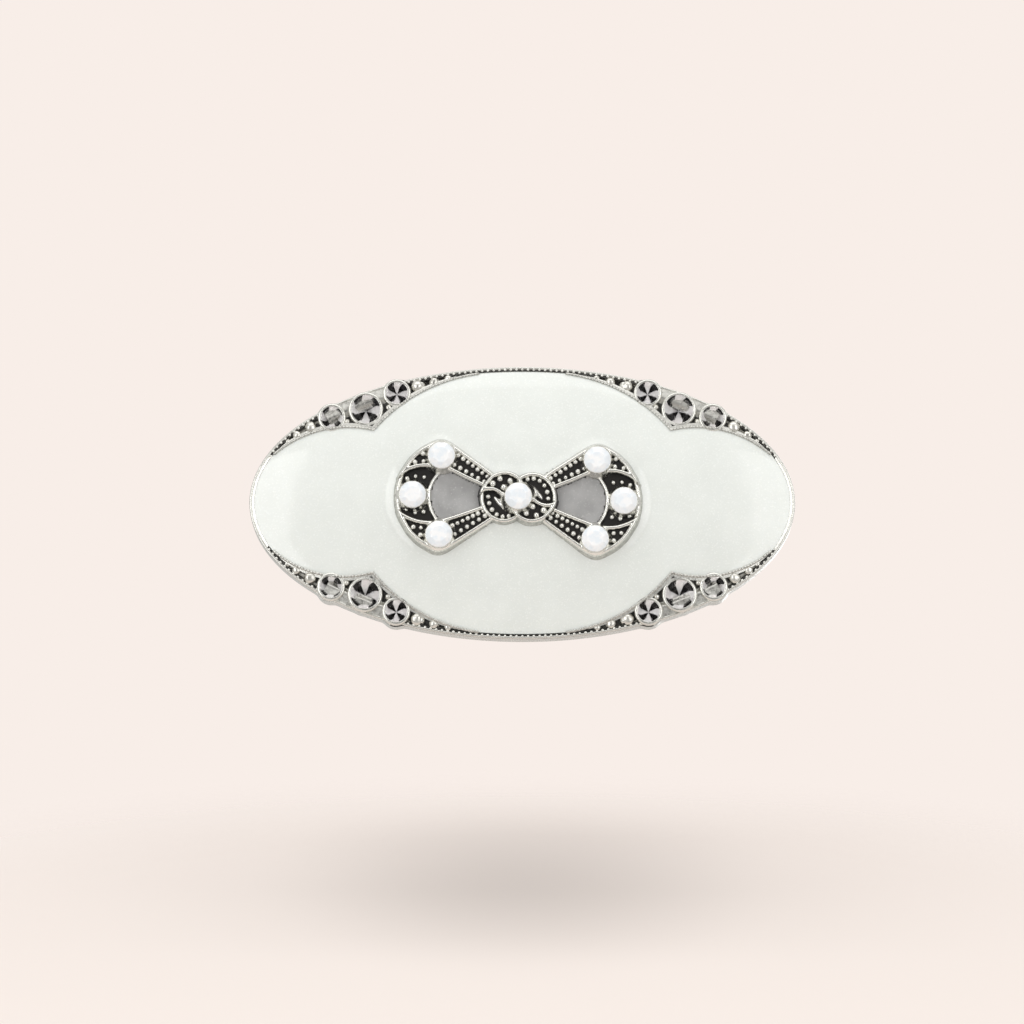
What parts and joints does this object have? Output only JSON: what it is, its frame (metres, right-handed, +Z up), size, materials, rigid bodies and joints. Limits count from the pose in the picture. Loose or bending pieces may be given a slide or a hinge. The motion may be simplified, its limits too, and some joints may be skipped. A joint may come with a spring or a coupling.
{
  "type": "brooch",
  "caption": "Oval domed brooch with a lobed enamel field, a stone-set applied bow, stone-set corners and a hinged pin with a turning safety catch.",
  "frame": {"origin": "the middle of the back rim's plane, at the centre of the oval", "axes": "+X along the length, from the hinge's end to the catch's end; +Z up as worn; the front faces -Y and the pin is on the +Y side"},
  "size_m": [0.057, 0.0119, 0.0288],
  "materials": {
    "silver_casting": "satin",
    "pearl_enamel": "gloss",
    "grey_enamel": "gloss",
    "foiled_glass": "gloss",
    "opal_glass": "gloss",
    "plated_steel": "satin",
    "pin_wire": "polished"
  },
  "bodies": {
    "brooch": {"body_casting": "silver_casting", "bow_casting": "silver_casting", "enamel_field": "pearl_enamel", "loop_enamel_left": "grey_enamel", "loop_enamel_right": "grey_enamel", "pin_bar": "plated_steel", "bar_rivet_left": "plated_steel", "bar_rivet_right": "plated_steel", "hinge_rivet": "plated_steel", "crystal_large_upper_right": "foiled_glass", "crystal_large_upper_left": "foiled_glass", "crystal_large_lower_right": "foiled_glass", "crystal_large_lower_left": "foiled_glass", "crystal_inner_upper_right": "foiled_glass", "crystal_inner_upper_left": "foiled_glass", "crystal_inner_lower_right": "foiled_glass", "crystal_inner_lower_left": "foiled_glass", "crystal_outer_upper_right": "foiled_glass", "crystal_outer_upper_left": "foiled_glass", "crystal_outer_lower_right": "foiled_glass", "crystal_outer_lower_left": "foiled_glass", "opal_knot": "opal_glass", "opal_right_upper": "opal_glass", "opal_right_middle": "opal_glass", "opal_right_lower": "opal_glass", "opal_left_upper": "opal_glass", "opal_left_middle": "opal_glass", "opal_left_lower": "opal_glass"},
    "pin": {"pin_stem": "pin_wire"},
    "catch": {"catch_roller": "plated_steel"}
  },
  "joints": [
    {"name": "pin_swing", "type": "hinge", "parent": "brooch", "child": "pin", "pos_m": [-0.0155, 0.0024, 0], "axis": [0, 0, 1], "range_deg": [0, 100]},
    {"name": "catch_turn", "type": "hinge", "parent": "brooch", "child": "catch", "pos_m": [0.0144, 0.0024, 0], "axis": [1, 0, 0], "range_deg": [0, 80]}
  ]
}
